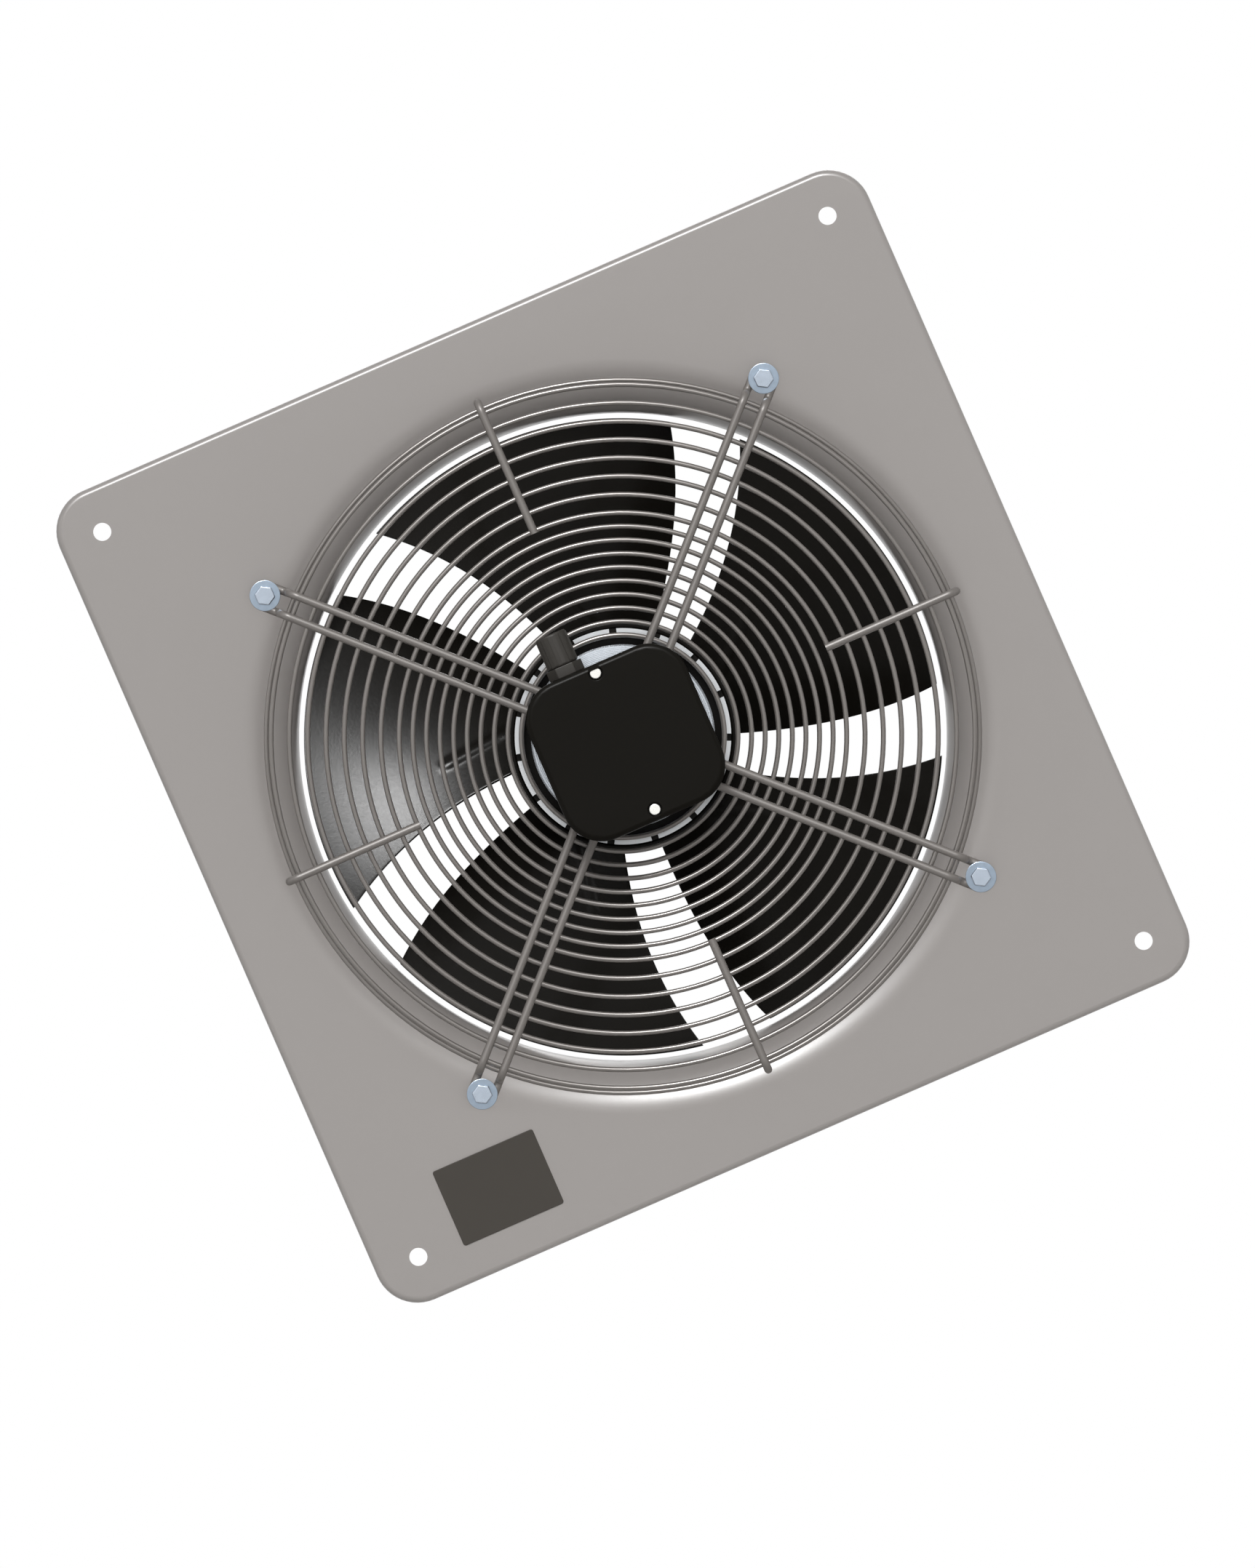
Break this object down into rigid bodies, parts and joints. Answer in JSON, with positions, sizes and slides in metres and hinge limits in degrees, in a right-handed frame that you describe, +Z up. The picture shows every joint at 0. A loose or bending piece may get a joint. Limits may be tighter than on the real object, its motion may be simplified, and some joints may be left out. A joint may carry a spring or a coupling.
{
  "type": "axial wall fan",
  "caption": "Square-plate axial fan: bell-mouth nozzle, wire guard, external-rotor motor with swept blades, terminal box and cable gland.",
  "frame": {"origin": "on the fan's axis, at the centre of the four wall-screw holes, on the plate's front face", "axes": "+Y along the fan's axis towards the nozzle's outlet, -Y towards the guard and the terminal box, +Z up the wall, +X to the right of someone facing the guard"},
  "size_m": [0.485, 0.14, 0.485],
  "materials": {
    "plate_paint": "fine matt grey powder coat on steel sheet",
    "guard_coat": "smooth dark grey coat on steel wire",
    "zinc_steel": "bright blue-passivated zinc on steel",
    "cast_aluminium": "bright machined and cast aluminium",
    "black_casting": "semi-gloss black coat on die-cast aluminium",
    "black_paint": "semi-gloss black coat on steel sheet",
    "black_plastic": "black moulded plastic, lightly grained",
    "gland_plastic": "dark grey-brown moulded polyamide",
    "black_rubber": "soft black rubber",
    "dark_label": "plain dark film, blank",
    "bearing_steel": "ground bearing steel",
    "machined_steel": "turned steel",
    "cage_plastic": "moulded polyamide",
    "lamination_steel": "stacked electrical sheet",
    "white_plastic": "white moulded plastic",
    "winding_copper": "enamelled copper wire, varnished",
    "terminal_brass": "nickel-free turned brass",
    "capacitor_plastic": "smooth light plastic can"
  },
  "bodies": {
    "fan_frame": {"wall_plate": "plate_paint", "rating_plate": "dark_label", "guard_rings": "guard_coat", "guard_base_ring": "guard_coat", "guard_arm_1": "guard_coat", "guard_arm_2": "guard_coat", "guard_arm_3": "guard_coat", "guard_arm_4": "guard_coat", "guard_strut_1": "guard_coat", "guard_strut_2": "guard_coat", "guard_strut_3": "guard_coat", "guard_strut_4": "guard_coat", "guard_screws": "zinc_steel", "guard_washers": "zinc_steel", "guard_nuts": "zinc_steel", "motor_flange": "cast_aluminium", "motor_screws": "zinc_steel", "motor_washers": "zinc_steel", "front_outer_race": "bearing_steel", "rear_outer_race": "bearing_steel", "bearing_spacer": "machined_steel", "bearing_preload_washer": "machined_steel", "stator_core": "lamination_steel", "front_insulator": "white_plastic", "rear_insulator": "white_plastic", "stator_winding": "winding_copper", "terminal_box_base": "black_plastic", "lid_gasket": "black_rubber", "terminal_box_lid": "black_plastic", "lid_screws": "zinc_steel", "box_screws": "zinc_steel", "earth_washer": "terminal_brass", "earth_screw": "terminal_brass", "lead_grommet": "black_rubber", "terminal_block": "white_plastic", "terminal_screws": "terminal_brass", "run_capacitor": "capacitor_plastic", "capacitor_clip": "zinc_steel", "gland_body": "gland_plastic", "gland_cap": "gland_plastic", "gland_seal": "black_rubber", "gland_locknut": "gland_plastic"},
    "impeller": {"rotor_bell": "black_casting", "rotor_core": "lamination_steel", "rotor_cage": "black_casting", "shaft": "machined_steel", "shaft_circlip": "machined_steel", "impeller_hub": "black_paint", "blade_1": "black_paint", "blade_2": "black_paint", "blade_3": "black_paint", "blade_4": "black_paint", "blade_5": "black_paint", "front_inner_race": "bearing_steel", "rear_inner_race": "bearing_steel"},
    "bearing_cages": {"front_balls": "bearing_steel", "rear_balls": "bearing_steel", "front_ball_cage": "cage_plastic", "rear_ball_cage": "cage_plastic"}
  },
  "joints": [
    {"name": "impeller_spin", "type": "hinge", "parent": "fan_frame", "child": "impeller", "pos_m": [0, 0, 0], "axis": [0, -1, 0], "continuous": true},
    {"name": "bearing_cage_spin", "type": "hinge", "parent": "fan_frame", "child": "bearing_cages", "pos_m": [0, 0, 0], "axis": [0, -1, 0], "continuous": true}
  ],
  "couplings": [
    {"joint": "bearing_cage_spin", "follows": "impeller_spin", "ratio": 0.3648}
  ]
}
